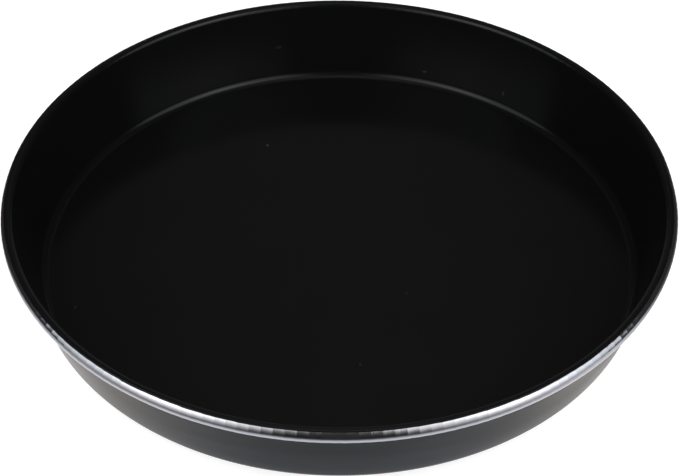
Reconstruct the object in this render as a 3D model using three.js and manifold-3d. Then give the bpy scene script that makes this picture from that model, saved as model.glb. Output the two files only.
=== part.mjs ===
// A round microwave crisp pan. One aluminium sheet is drawn into a shallow pan and its rim is rolled
// outwards into a hollow bead. A non-stick lining covers the inside and the top of the bead, a dark
// coat covers the outside of the wall, and a disc of ferrite-filled rubber that takes up microwaves
// is bonded under the base. Moulded studs under the disc hold the pan clear of the turntable.
// Millimetres, +Z up, the pan's axis on Z and the feet of the studs on z = 0.
import * as THREE from "three";
import { mergeVertices } from "three/addons/utils/BufferGeometryUtils.js";
import loadManifold from "manifold-3d";

// The drawn sheet
const RIM_DIAMETER = 290; // over the bead
const SHELL_HEIGHT = 39; // underside of the base to the top of the bead
const SHEET = 1; // thickness of the aluminium
const FLOOR_DIAMETER = 257; // flat part of the floor
const CORNER_RADIUS = 4; // inside, where the floor turns into the wall
const BEAD_DIAMETER = 6; // outer side of the rolled rim
const CREST_RADIUS = 2.4; // inner side, where the wall turns over into the rim
const CURL_GAP = 0.4; // slit between the sheet's cut edge and the coat on the wall

// The two coats
const LINING = 0.1; // thickness of the non-stick lining
const LINING_EDGE = 63; // degrees above level on the outside of the bead, where the lining stops
const OUTER_COAT = 0.1; // thickness of the dark coat
const FILM_GAP = 0.02; // kept between a coat and the sheet it lies on
const COAT_MARGIN = 1; // bare ring between the dark coat and the bond under the disc

// The rubber disc
const DISC_DIAMETER = 246;
const DISC_THICKNESS = 2.5;
const DISC_EDGE = 0.8; // bevel round the lower edge
const RECESS_DIAMETER = 40; // shallow hollow at the centre of the underside
const RECESS_DEPTH = 0.6;
const RECESS_SLOPE = 1.2; // width of the slope round the hollow
const BOND_THICKNESS = 0.3;
const BOND_INSET = 2; // the bond stops this far inside the disc's edge

// The studs under the disc
const STUD_COUNT = 6;
const STUD_CIRCLE = 200; // diameter of the circle they stand on
const STUD_FOOT = 10; // diameter on the turntable
const STUD_ROOT = 12; // diameter where it leaves the disc
const STUD_HEIGHT = 1.2;

// Facets
const SEGMENTS = 72;
const CORNER_STEPS = 4;
const CREST_STEPS = 5;
const BROW_STEPS = 2;
const CURL_STEPS = 9;
const STUD_SEGMENTS = 16;

const manifold3d = await loadManifold();
manifold3d.setup();
const { Manifold, Mesh: ManifoldMesh } = manifold3d;

// Heights of the layers, from the turntable up
const discBottom = STUD_HEIGHT;
const discTop = discBottom + DISC_THICKNESS;
const baseBottom = discTop + BOND_THICKNESS;
const floorHeight = baseBottom + SHEET;

// Half section, as (radius, height): the centres of the corner, of the bead and of its crest. The
// arcs of the crest and the bead meet at the top of the rim.
const beadRadius = BEAD_DIAMETER / 2;
const bead = at(RIM_DIAMETER / 2 - beadRadius, baseBottom + SHELL_HEIGHT - beadRadius);
const crest = at(bead.x, bead.y + beadRadius - CREST_RADIUS);
const corner = at(FLOOR_DIAMETER / 2, floorHeight + CORNER_RADIUS);

// The wall is the straight line that leaves the corner smoothly and runs smoothly into the crest.
// Its angle is that of its outward normal, from level.
const span = crest.clone().sub(corner);
const wallAngle = span.angle() - Math.acos((CORNER_RADIUS + CREST_RADIUS) / span.length());
const wallNormal = at(Math.cos(wallAngle), Math.sin(wallAngle));
const wallUp = at(-wallNormal.y, wallNormal.x);
const wallReach = CREST_RADIUS + bead.clone().sub(crest).dot(wallNormal); // inside face to the bead

// The curl stops where its cut edge still clears the coat on the wall.
const slitReach = wallReach - SHEET - FILM_GAP - OUTER_COAT - CURL_GAP;
const slitAngle = Math.acos(slitReach / beadRadius);
const crestStart = wallAngle + Math.PI;
const rimTop = Math.PI / 2;
const liningEdge = THREE.MathUtils.degToRad(LINING_EDGE);
const curlEnd = crestStart - 2 * Math.PI + slitAngle;

function at(radius, height) {
  return new THREE.Vector2(radius, height);
}

function arc(centre, radius, from, to, steps) {
  return Array.from({ length: steps + 1 }, (_, i) => {
    const angle = from + ((to - from) * i) / steps;
    return at(centre.x + radius * Math.cos(angle), centre.y + radius * Math.sin(angle));
  });
}

// The corner at a depth below the pan's inside face; a negative depth lies above that face.
function cornerLine(depth) {
  return arc(corner, CORNER_RADIUS + depth, -Math.PI / 2, wallAngle, CORNER_STEPS);
}

// The crest at the same depth, from the wall over the top of the rim to the edge of the lining.
function crestLine(depth) {
  const brow = arc(bead, beadRadius - depth, rimTop, liningEdge, BROW_STEPS);
  return [...arc(crest, CREST_RADIUS - depth, crestStart, rimTop, CREST_STEPS), ...brow.slice(1)];
}

// The rest of the bead, from the edge of the lining to the sheet's cut edge.
function curlLine(depth) {
  return arc(bead, beadRadius - depth, liningEdge, curlEnd, CURL_STEPS).slice(1);
}

function revolve(section) {
  return new THREE.LatheGeometry(section, SEGMENTS).rotateX(Math.PI / 2);
}

function toManifold(geometry) {
  const bare = new THREE.BufferGeometry();
  bare.setAttribute("position", geometry.getAttribute("position"));
  bare.setIndex(geometry.getIndex());
  const merged = mergeVertices(bare, 1e-3);
  const index = merged.getIndex().array;
  const triangles = [];
  for (let i = 0; i < index.length; i += 3) {
    const [a, b, c] = index.slice(i, i + 3);
    if (a !== b && b !== c && c !== a) triangles.push(a, b, c);
  }
  return new Manifold(
    new ManifoldMesh({
      numProp: 3,
      vertProperties: merged.getAttribute("position").array,
      triVerts: new Uint32Array(triangles),
    }),
  );
}

function toGeometry(manifold) {
  const mesh = manifold.getMesh();
  const geometry = new THREE.BufferGeometry();
  geometry.setAttribute("position", new THREE.BufferAttribute(mesh.vertProperties, 3));
  geometry.setIndex(new THREE.BufferAttribute(mesh.triVerts, 1));
  geometry.computeVertexNormals();
  return geometry;
}

function panShell() {
  const inside = [at(0, floorHeight), ...cornerLine(0), ...crestLine(0), ...curlLine(0)];
  const outside = [at(0, baseBottom), ...cornerLine(SHEET), ...crestLine(SHEET), ...curlLine(SHEET)];
  return revolve([...outside, ...inside.reverse()]);
}

function nonstickLining() {
  const under = -FILM_GAP;
  const over = under - LINING;
  const lower = [at(0, floorHeight - under), ...cornerLine(under), ...crestLine(under)];
  const upper = [at(0, floorHeight - over), ...cornerLine(over), ...crestLine(over)];
  return revolve([...lower, ...upper.reverse()]);
}

// The dark coat runs from the ring beside the disc, round the corner and up to the slit of the curl.
function outerCoat() {
  const innerRadius = DISC_DIAMETER / 2 - BOND_INSET + COAT_MARGIN;
  const line = (depth) => [
    at(innerRadius, floorHeight - depth),
    ...cornerLine(depth),
    bead
      .clone()
      .addScaledVector(wallNormal, depth - wallReach)
      .addScaledVector(wallUp, -beadRadius * Math.sin(slitAngle)),
  ];
  const against = line(SHEET + FILM_GAP);
  const away = line(SHEET + FILM_GAP + OUTER_COAT);
  return revolve([...away, ...against.reverse(), away[0]]);
}

function bondFilm() {
  const radius = DISC_DIAMETER / 2 - BOND_INSET;
  return revolve([at(0, discTop), at(radius, discTop), at(radius, baseBottom), at(0, baseBottom)]);
}

function stud(index) {
  const overlap = DISC_THICKNESS / 2;
  const flare = (overlap / STUD_HEIGHT) * (STUD_ROOT - STUD_FOOT);
  const height = STUD_HEIGHT + overlap;
  const angle = (index / STUD_COUNT) * 2 * Math.PI;
  return new THREE.CylinderGeometry((STUD_ROOT + flare) / 2, STUD_FOOT / 2, height, STUD_SEGMENTS)
    .rotateX(Math.PI / 2)
    .translate(
      (STUD_CIRCLE / 2) * Math.cos(angle),
      (STUD_CIRCLE / 2) * Math.sin(angle),
      height / 2,
    );
}

function absorberDisc() {
  const radius = DISC_DIAMETER / 2;
  const recess = RECESS_DIAMETER / 2;
  const plate = revolve([
    at(0, discBottom + RECESS_DEPTH),
    at(recess - RECESS_SLOPE, discBottom + RECESS_DEPTH),
    at(recess, discBottom),
    at(radius - DISC_EDGE, discBottom),
    at(radius, discBottom + DISC_EDGE),
    at(radius, discTop),
    at(0, discTop),
  ]);
  const studs = Array.from({ length: STUD_COUNT }, (_, i) => toManifold(stud(i)));
  return toGeometry(Manifold.union([toManifold(plate), ...studs]));
}

function piece(name, geometry, colour, metalness, roughness) {
  const material = new THREE.MeshStandardMaterial({ color: colour, metalness, roughness });
  const mesh = new THREE.Mesh(geometry, material);
  mesh.name = name;
  return mesh;
}

const pan = new THREE.Group();
pan.name = "crisp_pan";
pan.add(
  piece("pan_shell", panShell(), 0xc9cbcd, 1, 0.3),
  piece("nonstick_lining", nonstickLining(), 0x121213, 0, 0.5),
  piece("outer_coat", outerCoat(), 0x3d3e41, 0.3, 0.45),
  piece("bond_film", bondFilm(), 0x8a3b2e, 0, 0.6),
  piece("absorber_disc", absorberDisc(), 0x2b2826, 0, 0.8),
);

export default pan;
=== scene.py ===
"""A microwave crisp pan on a white table between two soft screens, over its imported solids."""

import math
import random

import bmesh
import bpy
from mathutils import Matrix, Vector


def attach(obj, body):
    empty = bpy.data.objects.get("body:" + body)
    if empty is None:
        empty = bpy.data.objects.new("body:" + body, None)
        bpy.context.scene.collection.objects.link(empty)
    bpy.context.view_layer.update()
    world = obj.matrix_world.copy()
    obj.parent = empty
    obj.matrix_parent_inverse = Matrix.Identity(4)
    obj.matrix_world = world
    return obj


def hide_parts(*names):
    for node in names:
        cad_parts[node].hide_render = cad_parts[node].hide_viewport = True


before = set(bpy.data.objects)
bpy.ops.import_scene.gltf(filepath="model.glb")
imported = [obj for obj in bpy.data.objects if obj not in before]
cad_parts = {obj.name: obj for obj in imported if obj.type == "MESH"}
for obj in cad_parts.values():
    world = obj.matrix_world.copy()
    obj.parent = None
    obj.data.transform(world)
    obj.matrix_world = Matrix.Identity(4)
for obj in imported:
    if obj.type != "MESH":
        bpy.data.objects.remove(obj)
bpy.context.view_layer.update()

MM = 0.001

# The pan's half section in millimetres, as in its solids: heights are above the feet of the studs.
RIM_RADIUS = 145.0
SHELL_HEIGHT = 39.0
SHEET = 1.0
FLOOR_RADIUS = 128.5
CORNER_RADIUS = 4.0
BEAD_RADIUS = 3.0
CREST_RADIUS = 2.4
CURL_GAP = 0.4
LINING = 0.1
LINING_EDGE = math.radians(63)
OUTER_COAT = 0.1
FILM_GAP = 0.02
COAT_INNER_RADIUS = 122.0
DISC_RADIUS = 123.0
DISC_THICKNESS = 2.5
DISC_EDGE = 0.8
RECESS_RADIUS = 20.0
RECESS_DEPTH = 0.6
RECESS_SLOPE = 1.2
BOND_THICKNESS = 0.3
STUD_COUNT = 6
STUD_CIRCLE_RADIUS = 100.0
STUD_FOOT_RADIUS = 5.0
STUD_ROOT_RADIUS = 6.0
STUD_HEIGHT = 1.2

# Only in this dressing: how far a stud reaches into the disc, and the curves along rubber edges.
STUD_SUNK = 0.6
STUD_CURVE = 0.35
DISC_CURVE = 0.4

DISC_TOP = STUD_HEIGHT + DISC_THICKNESS
BASE_HEIGHT = DISC_TOP + BOND_THICKNESS
FLOOR_HEIGHT = BASE_HEIGHT + SHEET
BEAD = Vector((RIM_RADIUS - BEAD_RADIUS, BASE_HEIGHT + SHELL_HEIGHT - BEAD_RADIUS))
CREST = Vector((BEAD.x, BEAD.y + BEAD_RADIUS - CREST_RADIUS))
CORNER = Vector((FLOOR_RADIUS, FLOOR_HEIGHT + CORNER_RADIUS))

# The straight wall touches the arc of the corner and that of the crest, where the wall turns over
# into the bead. Its angle is its normal's, and it passes the bead's centre at the wall's reach.
SPAN = CREST - CORNER
WALL_ANGLE = math.atan2(SPAN.y, SPAN.x) - math.acos((CORNER_RADIUS + CREST_RADIUS) / SPAN.length)
WALL_OUT = Vector((math.cos(WALL_ANGLE), math.sin(WALL_ANGLE)))
WALL_UP = Vector((-WALL_OUT.y, WALL_OUT.x))
WALL_REACH = CREST_RADIUS + (BEAD - CREST).dot(WALL_OUT)
SLIT_ANGLE = math.acos((WALL_REACH - SHEET - FILM_GAP - OUTER_COAT - CURL_GAP) / BEAD_RADIUS)
CREST_START = WALL_ANGLE + math.pi
RIM_TOP = math.pi / 2
CURL_END = CREST_START - 2 * math.pi + SLIT_ANGLE

# The rolling tool leaves the bead as a ring of short flats, each a little hollow and askew.
FLATS = 200
FLAT_ANGLE = 2 * math.pi / FLATS
FLAT_PHASE = -0.4  # where the first joint lies, in flats
FLAT_SKEW = 0.012  # most that a joint lies in or out
FLAT_HOLLOW = 0.036
FLAT_LEAN = 0.012  # most slope of a joint
FLAT_SEED = 4
FLAT_POINTS = (-0.5, -0.17, 0.17)  # lines of vertices across a flat, from its middle
CREASE_RADIUS = 143.0  # outside it, the joints are sharp
JOINT_MATCH = 0.01  # how near a joint an edge of the mesh lies on it, in flats

# The lining's edge lies a little above that of the solids, steps from flat to flat, and is higher
# on the right than on the left.
EDGE_RISE = math.radians(1.6)
EDGE_STEP = math.radians(1.5)
EDGE_TILT = math.radians(3.7)

# The rim is a little out of round at the back. Each swell has its middle and its reach to either
# side, both in degrees, and its height. A power of the cosine ends them at the far left and right.
SWELLS = (20, 26, 0.4), (77, 22, -0.36), (146, 23, 0.48)
SWELL_POWER = 200

# Facets: steps along the half sections, and lines of vertices round the turned pieces.
FLOOR_STEPS = 6
CORNER_STEPS = 14
WALL_STEPS = 6
CREST_STEPS = 14
BROW_STEPS = 6  # from the top of the bead to the lining's edge
CURL_STEPS = 40  # from the top of the bead to the sheet's cut edge, on its outer face
CURL_INSIDE_STEPS = 18
COAT_STEPS = 8
CURVE_STEPS = 5
CURVE_SHARE = 0.45  # most of an edge that a curve takes up
COAT_TURNS = 480
DISC_TURNS = 240
STUD_TURNS = 48
SHARP_EDGE = math.radians(35)  # edges that turn further stay sharp


# Half sections


def arc(centre, radius, start, end, steps):
    angles = [start + (end - start) * i / steps for i in range(steps + 1)]
    return [centre + radius * Vector((math.cos(a), math.sin(a))) for a in angles]


def between(a, b, steps):
    """The points that divide a straight line, without its ends."""
    return [a.lerp(b, i / steps) for i in range(1, steps)]


def floor_line(depth):
    """The flat floor, from the axis outwards, at a depth below the pan's inside face."""
    height = FLOOR_HEIGHT - depth
    axis, edge = Vector((0, height)), Vector((FLOOR_RADIUS, height))
    return [axis] + between(axis, edge, FLOOR_STEPS)


def corner_line(depth):
    return arc(CORNER, CORNER_RADIUS + depth, -math.pi / 2, WALL_ANGLE, CORNER_STEPS)


def bead_line(depth, end, steps, shift, lean):
    """The bead, moved outwards by the shift and leaning out towards its top."""
    line = arc(CREST, CREST_RADIUS - depth, CREST_START, RIM_TOP, CREST_STEPS)
    line += arc(BEAD, BEAD_RADIUS - depth, RIM_TOP, end, steps)[1:]
    return [p + Vector((shift + lean * (p.y - BEAD.y), 0)) for p in line]


def pan_line(depth, end, steps, shift, lean):
    """Floor, corner, wall and bead at one depth, as far round the bead as the end angle."""
    line = floor_line(depth) + corner_line(depth)
    bead = bead_line(depth, end, steps, shift, lean)
    return line + between(line[-1], bead[0], WALL_STEPS) + bead


def rounded(points, radius):
    """A half section with a soft curve in place of each of its inner corners."""
    points = [Vector(p) for p in points]
    line = [points[0]]
    for before, at, after in zip(points, points[1:], points[2:]):
        a, b = before - at, after - at
        cut = min(radius, CURVE_SHARE * a.length, CURVE_SHARE * b.length)
        start, end = at + cut * a.normalized(), at + cut * b.normalized()
        for i in range(CURVE_STEPS + 1):
            share = i / CURVE_STEPS
            line.append(start.lerp(at, share).lerp(at.lerp(end, share), share))
    return line + [points[-1]]


# Turned pieces


def add_piece(name, verts, faces):
    mesh = bpy.data.meshes.new(name)
    mesh.from_pydata(verts, [], faces)
    piece = bpy.data.objects.new(name, mesh)
    bpy.context.scene.collection.objects.link(piece)
    return piece


def turn(name, section_at, angles):
    """A closed mesh from one half section per angle; a point on the axis is a single vertex."""
    sections = [section_at(i) for i in range(len(angles))]
    verts, rings = [], []
    for j, point in enumerate(sections[0]):
        if point.x == 0:
            rings.append([len(verts)] * len(angles))
            verts.append((0, 0, point.y * MM))
        else:
            rings.append(range(len(verts), len(verts) + len(angles)))
            for section, angle in zip(sections, angles):
                radius, height = section[j] * MM
                verts.append((radius * math.cos(angle), radius * math.sin(angle), height))
    if sections[0][0].x > 0:
        rings.append(rings[0])
    faces = []
    for low, high in zip(rings, rings[1:]):
        for i in range(len(angles)):
            k = (i + 1) % len(angles)
            corners = dict.fromkeys((low[i], low[k], high[k], high[i]))
            faces.append(list(corners))
    piece = add_piece(name, verts, faces)
    face_outwards(piece.data)
    return piece


def face_outwards(mesh):
    shape = bmesh.new()
    shape.from_mesh(mesh)
    bmesh.ops.recalc_face_normals(shape, faces=shape.faces)
    shape.to_mesh(mesh)
    shape.free()
    mesh.shade_smooth()
    mesh.set_sharp_from_angle(angle=SHARP_EDGE)


def even_angles(count):
    return [2 * math.pi * i / count for i in range(count)]


def out_of_round(angle):
    """How far the rim lies outside its circle."""
    turned = math.degrees(angle)
    swell = sum(
        height * math.exp(-(((turned - middle) / reach) ** 2)) for middle, reach, height in SWELLS
    )
    return swell * (1 - abs(math.cos(angle)) ** SWELL_POWER)


# The flats: the angle of each line of vertices, how it lies, and where the lining ends there.
chance = random.Random(FLAT_SEED)
joint_shift = [chance.uniform(-FLAT_SKEW, FLAT_SKEW) for _ in range(FLATS)]
joint_lean = [chance.uniform(-FLAT_LEAN, FLAT_LEAN) for _ in range(FLATS)]
edge_shift = [chance.uniform(-EDGE_STEP, EDGE_STEP) for _ in range(FLATS)]
rim_angles, rim_lie, rim_edge = [], [], []
for flat in range(FLATS):
    for place in FLAT_POINTS:
        sag = RIM_RADIUS * (math.cos(FLAT_ANGLE / 2) / math.cos(place * FLAT_ANGLE) - 1)
        shares = (0.5 - place, flat), (0.5 + place, (flat + 1) % FLATS)
        shift = sag + sum(share * joint_shift[i] for share, i in shares)
        shift -= FLAT_HOLLOW * (1 - 4 * place * place)
        lean = sum(share * joint_lean[i] for share, i in shares)
        angle = (flat + 0.5 + place + FLAT_PHASE) * FLAT_ANGLE
        shift += out_of_round(angle)
        rim_angles.append(angle)
        rim_lie.append((shift - FLAT_SKEW, lean))
        rim_edge.append(LINING_EDGE + EDGE_RISE + EDGE_TILT * math.cos(angle) + edge_shift[flat])


def shell_section(i):
    inside = pan_line(0, CURL_END, CURL_STEPS, *rim_lie[i])
    outside = pan_line(SHEET, CURL_END, CURL_INSIDE_STEPS, *rim_lie[i])
    return outside + inside[::-1]


def lining_section(i):
    lower = pan_line(-FILM_GAP, rim_edge[i], BROW_STEPS, *rim_lie[i])
    upper = pan_line(-FILM_GAP - LINING, rim_edge[i], BROW_STEPS, *rim_lie[i])
    return lower + upper[::-1]


def crease_flats(piece):
    """Sharp lines where two flats meet on the outer side of the bead."""
    for edge in piece.data.edges:
        ends = [piece.data.vertices[i].co for i in edge.vertices]
        turns = [math.atan2(p.y, p.x) / FLAT_ANGLE - FLAT_PHASE for p in ends]
        on_joint = all(abs(t - round(t)) < JOINT_MATCH for t in turns)
        upright = abs(turns[0] - turns[1]) < JOINT_MATCH
        outside = all(math.hypot(p.x, p.y) > CREASE_RADIUS * MM for p in ends)
        if on_joint and upright and outside:
            edge.use_edge_sharp = True


def coat_line(depth, swell):
    """From the ring beside the disc, round the corner and up the wall to the slit of the curl. The
    wall leans out with the swell of the rim."""
    line = [Vector((COAT_INNER_RADIUS, FLOOR_HEIGHT - depth))] + corner_line(depth)
    top = BEAD + (depth - WALL_REACH) * WALL_OUT - BEAD_RADIUS * math.sin(SLIT_ANGLE) * WALL_UP
    wall_top = CREST - (CREST_RADIUS - depth) * WALL_OUT
    top += Vector((swell * (top - line[-1]).length / (wall_top - line[-1]).length, 0))
    return line + between(line[-1], top, COAT_STEPS) + [top]


def outer_coat():
    angles = even_angles(COAT_TURNS)
    under = SHEET + FILM_GAP

    def section(i):
        swell = out_of_round(angles[i])
        return coat_line(under + OUTER_COAT, swell) + coat_line(under, swell)[::-1]

    return turn("dark_outer_coat", section, angles)


def stud(index):
    root = STUD_HEIGHT + STUD_SUNK
    root_radius = STUD_FOOT_RADIUS + (STUD_ROOT_RADIUS - STUD_FOOT_RADIUS) * root / STUD_HEIGHT
    corners = [(0, 0), (STUD_FOOT_RADIUS, 0), (root_radius, root), (0, root)]
    section = rounded(corners, STUD_CURVE)
    piece = turn("stud", lambda i: section, even_angles(STUD_TURNS))
    angle = 2 * math.pi * index / STUD_COUNT
    place = Vector((math.cos(angle), math.sin(angle), 0)) * STUD_CIRCLE_RADIUS * MM
    piece.data.transform(Matrix.Translation(place))
    return piece


def absorber_disc():
    bottom = STUD_HEIGHT
    section = rounded(
        [
            (0, bottom + RECESS_DEPTH),
            (RECESS_RADIUS - RECESS_SLOPE, bottom + RECESS_DEPTH),
            (RECESS_RADIUS, bottom),
            (DISC_RADIUS - DISC_EDGE, bottom),
            (DISC_RADIUS, bottom + DISC_EDGE),
            (DISC_RADIUS, DISC_TOP),
            (0, DISC_TOP),
        ],
        DISC_CURVE,
    )
    disc = turn("rubber_disc", lambda i: section, even_angles(DISC_TURNS))
    studs = [stud(i) for i in range(STUD_COUNT)]
    for one in studs:
        union = disc.modifiers.new("union", "BOOLEAN")
        union.operation = "UNION"
        union.solver = "EXACT"
        union.object = one
    moulded = disc.evaluated_get(bpy.context.evaluated_depsgraph_get())
    disc.data = bpy.data.meshes.new_from_object(moulded)
    disc.modifiers.clear()
    for one in studs:
        bpy.data.objects.remove(one)
    face_outwards(disc.data)
    return disc


# Finishes


class Shade:
    """A value in a node tree. Arithmetic adds Math nodes, and any other node comes from node()."""

    def __init__(self, tree, socket=None):
        self.tree = tree
        self.socket = socket

    def node(self, kind, inputs=None, out=0, **settings):
        made = self.tree.nodes.new(kind)
        for name, value in settings.items():
            setattr(made, name, value)
        for name, value in (inputs or {}).items():
            if isinstance(value, Shade):
                self.tree.links.new(value.socket, made.inputs[name])
            else:
                made.inputs[name].default_value = value
        return Shade(self.tree, made.outputs[out]) if len(made.outputs) else made

    def math(self, operation, a, b=0.0):
        return self.node("ShaderNodeMath", {0: a, 1: b}, operation=operation)

    def __add__(self, other):
        return self.math("ADD", self, other)

    def __sub__(self, other):
        return self.math("SUBTRACT", self, other)

    def __mul__(self, other):
        return self.math("MULTIPLY", self, other)

    def __rsub__(self, other):
        return self.math("SUBTRACT", other, self)

    __radd__ = __add__
    __rmul__ = __mul__

    def step(self, low, high):
        """0 below low, 1 above high and a smooth rise between."""
        inputs = {"Value": self, "From Min": low, "From Max": high}
        return self.node("ShaderNodeMapRange", inputs, interpolation_type="SMOOTHSTEP")

    def mix(self, share, a, b):
        return self.node("ShaderNodeMix", {0: share, 6: a, 7: b}, 2, data_type="RGBA")

    def places(self):
        return self.node("ShaderNodeTexCoord", out="Object")

    def split(self):
        """The three coordinates of a place on the piece."""
        parts = self.node("ShaderNodeSeparateXYZ", {0: self.places()})
        return [Shade(self.tree, output) for output in parts.socket.node.outputs]

    def noise(self, scale, detail=2.0, places=None):
        inputs = {"Vector": places or self.places(), "Scale": scale, "Detail": detail}
        return self.node("ShaderNodeTexNoise", inputs)

    def bump(self, height, strength, distance):
        inputs = {"Height": height, "Strength": strength, "Distance": distance}
        return self.node("ShaderNodeBump", inputs)

    def light(self, tint, strength):
        """Light whose colour carries what changes over the surface."""
        colour = self.node("ShaderNodeVectorMath", {0: tint, "Scale": strength}, operation="SCALE")
        return self.node("ShaderNodeEmission", {"Color": colour})

    def surface(self, **inputs):
        named = {name.replace("_", " "): value for name, value in inputs.items()}
        shader = self.node("ShaderNodeBsdfPrincipled", named)
        self.show(shader)

    def show(self, shader):
        self.node("ShaderNodeOutputMaterial", {"Surface": shader})


def grey(level, warm=0.0):
    return (level * (1 + warm), level, level * (1 - warm), 1)


def finish(name, build):
    material = bpy.data.materials.new(name)
    material.use_nodes = True
    material.node_tree.nodes.clear()
    build(Shade(material.node_tree))
    return material


# Pale flecks on the lining: the place and half sizes of each in millimetres, and how strong it is.
FLECKS = (
    ((-34.6, 74.4, 5.1), (0.6, 1.1, 1.0), 1.2),
    ((-30.4, 131.8, 22.3), (2.0, 1.0, 1.0), 0.18),
    ((42.7, 126.1, 11.7), (1.5, 1.0, 0.8), 0.5),
    ((80.6, 106.3, 12.8), (0.9, 0.9, 1.5), 0.5),
    ((-113.4, -38.3, 5.1), (0.8, 1.1, 1.0), 0.3),
    ((8.7, -72.1, 5.1), (0.45, 1.3, 1.0), 0.28),
    ((29.2, -29.1, 5.1), (0.8, 0.8, 1.0), 0.2),
)


def fleck(s, place, size, strength):
    centre = Vector(place) * MM
    offset = s.node("ShaderNodeVectorMath", {0: s.places(), 1: centre}, operation="SUBTRACT")
    halves = [1 / (half * MM) for half in size]
    squeezed = s.node("ShaderNodeVectorMath", {0: offset, 1: halves}, operation="MULTIPLY")
    reach = s.node("ShaderNodeVectorMath", {0: squeezed}, "Value", operation="LENGTH")
    return strength * (1 - reach.step(0.4, 1.0))


def black_nonstick(s):
    """Satin black: a fine sprayed grain, faint clouds and a few pale flecks."""
    clouds = s.noise(35, 3)
    grain = s.noise(2600)
    peel = s.noise(380)
    flecks = sum(fleck(s, *one) for one in FLECKS)
    black = s.mix(clouds, grey(0.0056), grey(0.0074))
    s.surface(
        Base_Color=s.mix(flecks, black, grey(0.07)),
        Roughness=0.11 + 0.05 * clouds + 0.05 * grain,
        IOR=1.34,
        Normal=s.bump(0.6 * peel + 0.4 * grain, 0.12, 0.0002),
    )


def bare_aluminium(s):
    """Rolled bright metal with fine lines round the bead and a little haze."""
    x, y, z = s.split()
    around = s.node("ShaderNodeCombineXYZ", {0: x * 30, 1: y * 30, 2: z * 2600})
    lines = s.noise(1, 3, around)
    across = s.node("ShaderNodeCombineXYZ", {0: 190 * s.math("ARCTAN2", y, x), 1: z * 60})
    chatter = s.noise(1, 2, across)
    haze = s.noise(160, 3)
    s.surface(
        Base_Color=s.mix(haze, (0.566, 0.56, 0.59, 1), (0.647, 0.64, 0.674, 1)),
        Metallic=1.0,
        Roughness=0.07 + 0.07 * lines + 0.05 * haze,
        Normal=s.bump(0.4 * lines + 0.6 * chatter, 0.2, 0.0001),
    )


def dark_coat(s):
    """Dark grey satin coat with faint turning lines, clouds and glossier smears."""
    x, y, z = s.split()
    around = s.node("ShaderNodeCombineXYZ", {0: x * 6, 1: y * 6, 2: z * 900})
    lines = s.noise(1, 4, around)
    wiped = s.node("ShaderNodeCombineXYZ", {0: x * 14, 1: y * 14, 2: z * 90})
    smear = s.noise(1, 3, wiped).step(0.35, 0.65)
    clouds = s.noise(28, 3)
    grain = s.noise(1800)
    tone = 0.7 * lines + 0.3 * clouds
    s.surface(
        Base_Color=s.mix(tone, grey(0.002, -0.3), grey(0.008, -0.3)),
        Roughness=0.16 + 0.12 * lines + 0.05 * grain,
        IOR=1.29,
        Coat_Weight=0.1 * smear,
        Coat_Roughness=0.2,
        Normal=s.bump(0.7 * lines + 0.3 * grain, 0.18, 0.0001),
    )


def ferrite_rubber(s):
    """Dull charcoal rubber, mottled, with a fine moulded grain and tiny glints of powder painted
    into its colour as pale specks.
    """
    mottle = s.noise(90, 4)
    grain = s.noise(1500, 3)
    speck = s.node("ShaderNodeTexVoronoi", {"Vector": s.places(), "Scale": 900})
    # Pale specks painted into the colour stand in for glints of powder: painted highlights.
    painted_glint = 1 - speck.step(0.1, 0.2)
    rubber = s.mix(mottle, grey(0.022, 0.06), grey(0.042, 0.06))
    s.surface(
        Base_Color=s.mix(0.5 * painted_glint, rubber, grey(0.13, 0.03)),
        Roughness=0.68 + 0.14 * grain,
        Normal=s.bump(0.5 * grain + 0.5 * mottle, 0.3, 0.0002),
    )


def silicone_bond(s):
    """Red-brown adhesive, uneven in colour where it was spread."""
    smear = s.noise(60, 4)
    s.surface(
        Base_Color=s.mix(smear, (0.22, 0.055, 0.035, 1), (0.34, 0.09, 0.06, 1)),
        Roughness=0.45 + 0.2 * smear,
        Normal=s.bump(smear, 0.3, 0.0002),
    )


def dress(piece, slot, material, *nodes):
    piece.data.materials.clear()
    piece.data.materials.append(material)
    if nodes:
        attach(piece, "root")
        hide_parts(*nodes)


shell = turn("rolled_pan_shell", shell_section, rim_angles)
crease_flats(shell)
lining = turn("black_lining", lining_section, rim_angles)
dress(shell, "bare_aluminium", finish("bare aluminium", bare_aluminium), "pan_shell")
dress(lining, "black_nonstick", finish("black non-stick", black_nonstick), "nonstick_lining")
dress(outer_coat(), "dark_grey_coat", finish("dark outer coat", dark_coat), "outer_coat")
dress(absorber_disc(), "ferrite_rubber", finish("ferrite rubber", ferrite_rubber), "absorber_disc")
dress(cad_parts["bond_film"], "silicone_bond", finish("silicone bond", silicone_bond))


# Table, light and camera

TABLE_RADIUS = 0.36
TABLE_THICKNESS = 0.01
TABLE_TURNS = 180

# The screens are parts of a sphere. Their edges are in degrees: azimuths from the camera's side,
# and elevations. The back edge, given for the left and the right screen, leans back as it rises.
SCREEN_RADIUS = 0.7
SCREEN_FRONT = 5
SCREEN_BACK = {-1: 78.5, 1: 76.2}
SCREEN_LEAN = 0.44
SCREEN_TOP = 82
SCREEN_FOOT = -8
SCREEN_ACROSS = 24  # faces
SCREEN_UP = 18
SCREEN_CORE = (0.8, -0.53, 0.87)  # direction of the lamp's glow, on the right
SCREEN_BULB = (0.579, -0.335, 0.743)

PANEL_HEIGHT = 0.7
PANEL_HALF = (0.12, 0.22)
ROOM_RADIUS = 4.0
ROOM_STEPS = 48
ROOM_TURNS = 96


def light_path(s, kind):
    return s.node("ShaderNodeLightPath", out=kind)


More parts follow.
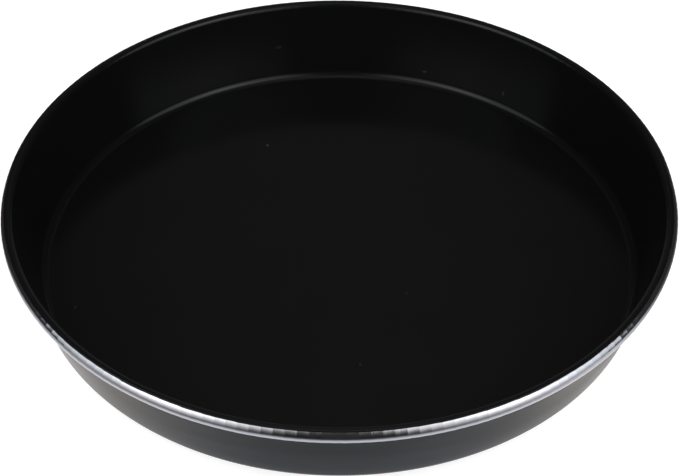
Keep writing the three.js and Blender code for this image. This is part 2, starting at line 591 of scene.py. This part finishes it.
def table_top(s):
    """White table top. The camera sees it almost white, with the pan's shadow. Metal and coats see
    a painted glow from it: bright beside the pan and grey further out, brighter to the left and
    right than in front as painted light from the screens, and dim behind the pan as a painted
    shadow of the pan."""
    x, y, _ = s.split()
    out = s.math("SQRT", x * x + y * y)
    side = s.math("DIVIDE", x * x, out * out)
    far = out.step(0.148, 0.235)
    foot = 1 - out.step(0.14, 0.165)
    edge = (1 - out.step(0.133, 0.139)) * (1 - side.step(0.2, 0.6))
    dip = out.step(0.137, 0.142) * (1 - out.step(0.143, 0.148)) * (1 - side.step(0.0, 0.15))
    # Painted light: the glow that metal sees is brighter at the sides, where the screens light the
    # table, and brighter still near the pan's foot there.
    near_shine = 0.81 + (0.23 + 0.8 * x) * side + 0.17 * foot * side.step(0.1, 1.0)
    near_shine = near_shine + 0.25 * edge - 0.13 * dip
    far_shine = 0.05 + (0.7 + 1.2 * x) * side
    behind = y.step(0.05, 0.12) * (1 - out.step(0.152, 0.168))
    # Painted shadow: behind the pan the glow that metal sees is dimmed, where the pan shades the
    # table.
    rear = (y + 0.1 * x).step(-0.1, 0.015) * (1 - behind)
    shine = (near_shine + (far_shine - near_shine) * far) * (1 - 0.9 * rear)
    warm = side.step(0.05, 0.5) * (1 - out.step(0.15, 0.18))
    tint = s.mix(warm, (0.975, 0.99, 1.05, 1), (1.03, 1.0, 0.975, 1))
    mirrored = s.light(tint, shine)
    clouds = s.noise(3, 2)
    near_white = s.mix(clouds, grey(0.5), grey(0.52))
    shaded = s.node("ShaderNodeBsdfDiffuse", {"Color": s.mix(far, near_white, grey(0.35))})
    lift = light_path(s, "Is Camera Ray") * (0.85 + 0.15 * far)
    glow = s.light((1, 1, 1), lift)
    seen = s.node("ShaderNodeAddShader", {0: shaded, 1: glow})
    share = s.math("MAXIMUM", light_path(s, "Is Glossy Ray"), light_path(s, "Is Transmission Ray"))
    s.show(s.node("ShaderNodeMixShader", {0: share, 1: seen, 2: mirrored}))


def table_section(_):
    edge, underside = TABLE_RADIUS / MM, -TABLE_THICKNESS / MM
    return [Vector(p) for p in ((0, 0), (edge, 0), (edge, underside), (0, underside))]


table = turn("table_top", table_section, even_angles(TABLE_TURNS))
table.data.materials.append(finish("white table", table_top))


def weave(s):
    """The faint unevenness of a lit cloth."""
    return 0.97 + 0.06 * s.noise(40, 2)


def glowing_cloth(s, foot, rise, level, rear_level, front_edge, front_dip):
    """White cloth with a lamp behind it. The cloth has a strength at its foot and a rise towards
    the top, and the lamp a level. Both are dimmer at the rear, dip a little towards the front and
    fade past the front edge."""
    x, y, z = s.split()
    height = z * (1 / SCREEN_RADIUS)
    cloth = (foot + rise * height) * (1 - height.step(0.9, 0.98))
    towards_front = s.math("DIVIDE", -1 * y, s.math("SQRT", x * x + y * y))
    faded = (towards_front + 0.035 * s.math("MAXIMUM", 0.6 - height, 0.0)).step(*front_edge)
    front = (1 - 0.94 * faded) * (1 - 0.3 * towards_front.step(*front_dip))
    rear = rear_level + (1 - rear_level) * towards_front.step(0.3, 0.66)

    def around(centre, narrowness):
        c = Vector(centre).normalized() / SCREEN_RADIUS
        near = c.x * s.math("ABSOLUTE", x) + c.y * y + c.z * z
        return s.math("POWER", s.math("MAXIMUM", near, 0.0), narrowness)

    spread = around(SCREEN_CORE, 7.0)
    core = around(SCREEN_CORE, 31.5)
    bulb = around(SCREEN_BULB, 120.0)
    lamp = level * (0.85 * spread + 0.65 * core + 2.5 * bulb)
    strength = (cloth + lamp) * front * rear * weave(s)
    tint = s.mix(towards_front.step(0.2, 0.6), (0.94, 1.0, 1.04, 1), (0.99, 1.0, 1.01, 1))
    s.show(s.light(tint, strength))


def soft_screen(name, side, material):
    """A curved cloth screen beside the pan; the side is -1 on the left and 1 on the right."""
    verts, faces = [], []
    for j in range(SCREEN_UP + 1):
        elevation = SCREEN_FOOT + (SCREEN_TOP - SCREEN_FOOT) * j / SCREEN_UP
        back = SCREEN_BACK[side] + SCREEN_LEAN * elevation
        e = math.radians(elevation)
        for i in range(SCREEN_ACROSS + 1):
            a = math.radians(SCREEN_FRONT + (back - SCREEN_FRONT) * i / SCREEN_ACROSS)
            x = side * math.sin(a) * math.cos(e)
            y = -math.cos(a) * math.cos(e)
            verts.append(SCREEN_RADIUS * Vector((x, y, math.sin(e))))
    row = SCREEN_ACROSS + 1
    for j in range(SCREEN_UP):
        for i in range(SCREEN_ACROSS):
            k = j * row + i
            faces.append((k, k + 1, k + row + 1, k + row))
    screen = add_piece(name, verts, faces)
    screen.data.materials.append(material)
    screen.visible_camera = False


def left_cloth(s):
    edges = {"front_edge": (0.89, 0.998), "front_dip": (0.76, 0.89)}
    glowing_cloth(s, foot=0.38, rise=0.8, level=0.7, rear_level=0.81, **edges)


def right_cloth(s):
    edges = {"front_edge": (0.905, 0.99), "front_dip": (0.62, 0.88)}
    glowing_cloth(s, foot=0.5, rise=0.935, level=0.8, rear_level=0.77, **edges)


soft_screen("soft_screen_left", -1, finish("left cloth", left_cloth))
soft_screen("soft_screen_right", 1, finish("right cloth", right_cloth))


def overhead_panel():
    """A dim panel above the pan."""
    x, y = PANEL_HALF
    corners = [(-x, -y), (x, -y), (x, y), (-x, y)]
    verts = [(*corner, PANEL_HEIGHT) for corner in corners]
    panel = add_piece("overhead_panel", verts, [(0, 1, 2, 3)])
    panel.data.materials.append(finish("panel cloth", panel_cloth))
    panel.visible_camera = False


def panel_cloth(s):
    """Cloth that is dimmer towards the front."""
    _, y, _ = s.split()
    strength = (0.1 + 0.4 * y.step(-PANEL_HALF[1], -0.02)) * weave(s)
    s.show(s.light((1, 1, 1), strength))


overhead_panel()


def dim_walls(s):
    """Dark studio walls, a little lighter overhead, behind the pan and above the camera."""
    x, y, z = [one * (1 / ROOM_RADIUS) for one in s.split()]
    aside = s.math("ABSOLUTE", x)
    overhead = (z + 0.6 * y).step(0.85, 1.15) * (1 - 0.6 * aside.step(0.03, 0.25))
    above = z.step(0.72, 0.86) * y.step(-0.15, 0.1) * (1 - aside.step(0.1, 0.35))
    front = (-1 * y).step(0.4, 0.8) * (0.004 + 0.006 * z)
    glow = 0.03 + 0.08 * overhead + 0.09 * above + 0.17 * y.step(0.8, 0.95) + front
    s.show(s.light((1, 1, 1), glow))


def studio_room():
    """A round room about the table. The camera looks in through its wall, from a white backdrop."""
    half = arc(Vector((0, 0)), ROOM_RADIUS / MM, -math.pi / 2, math.pi / 2, ROOM_STEPS)
    half[0].x = half[-1].x = 0
    room = turn("studio_room", lambda i: half, even_angles(ROOM_TURNS))
    room.data.materials.append(finish("dim walls", dim_walls))
    room.visible_camera = False


studio_room()

world = bpy.data.worlds.new("white backdrop")
bpy.context.scene.world = world
world.use_nodes = True
world.node_tree.nodes.clear()
backdrop = Shade(world.node_tree)
white = backdrop.node("ShaderNodeBackground", {"Color": grey(1.0)})
backdrop.node("ShaderNodeOutputWorld", {"Surface": white})

# The camera stands where the photograph was taken. Its distance and the height of its target above
# the underside of the sheet are in rim radii, and its angles in radians.
VIEW_ELEVATION = 0.7232
VIEW_DISTANCE = 5.0011 * RIM_RADIUS * MM
VIEW_TARGET = Vector((0.0, 0, 0.0506 * RIM_RADIUS * MM + BASE_HEIGHT * MM))
VIEW_ROLL = 0.0021
FOCAL_PIXELS = 1630.4
IMAGE_WIDTH = 680
CENTRE_PIXEL = 339.3
SENSOR_WIDTH = 36

lens = bpy.data.cameras.new("camera")
lens.sensor_fit = "HORIZONTAL"
lens.sensor_width = SENSOR_WIDTH
lens.lens = FOCAL_PIXELS / IMAGE_WIDTH * SENSOR_WIDTH
lens.shift_x = 0.5 - CENTRE_PIXEL / IMAGE_WIDTH
lens.clip_start = 0.01
camera = bpy.data.objects.new("camera", lens)
back = Vector((0, -math.cos(VIEW_ELEVATION), math.sin(VIEW_ELEVATION)))
aim = back.to_track_quat("Z", "Y").to_matrix().to_4x4()
stand = Matrix.Translation(VIEW_TARGET + VIEW_DISTANCE * back)
camera.matrix_world = stand @ aim @ Matrix.Rotation(VIEW_ROLL, 4, "Z")
bpy.context.scene.collection.objects.link(camera)
bpy.context.scene.camera = camera
bpy.context.scene.view_settings.view_transform = "Standard"
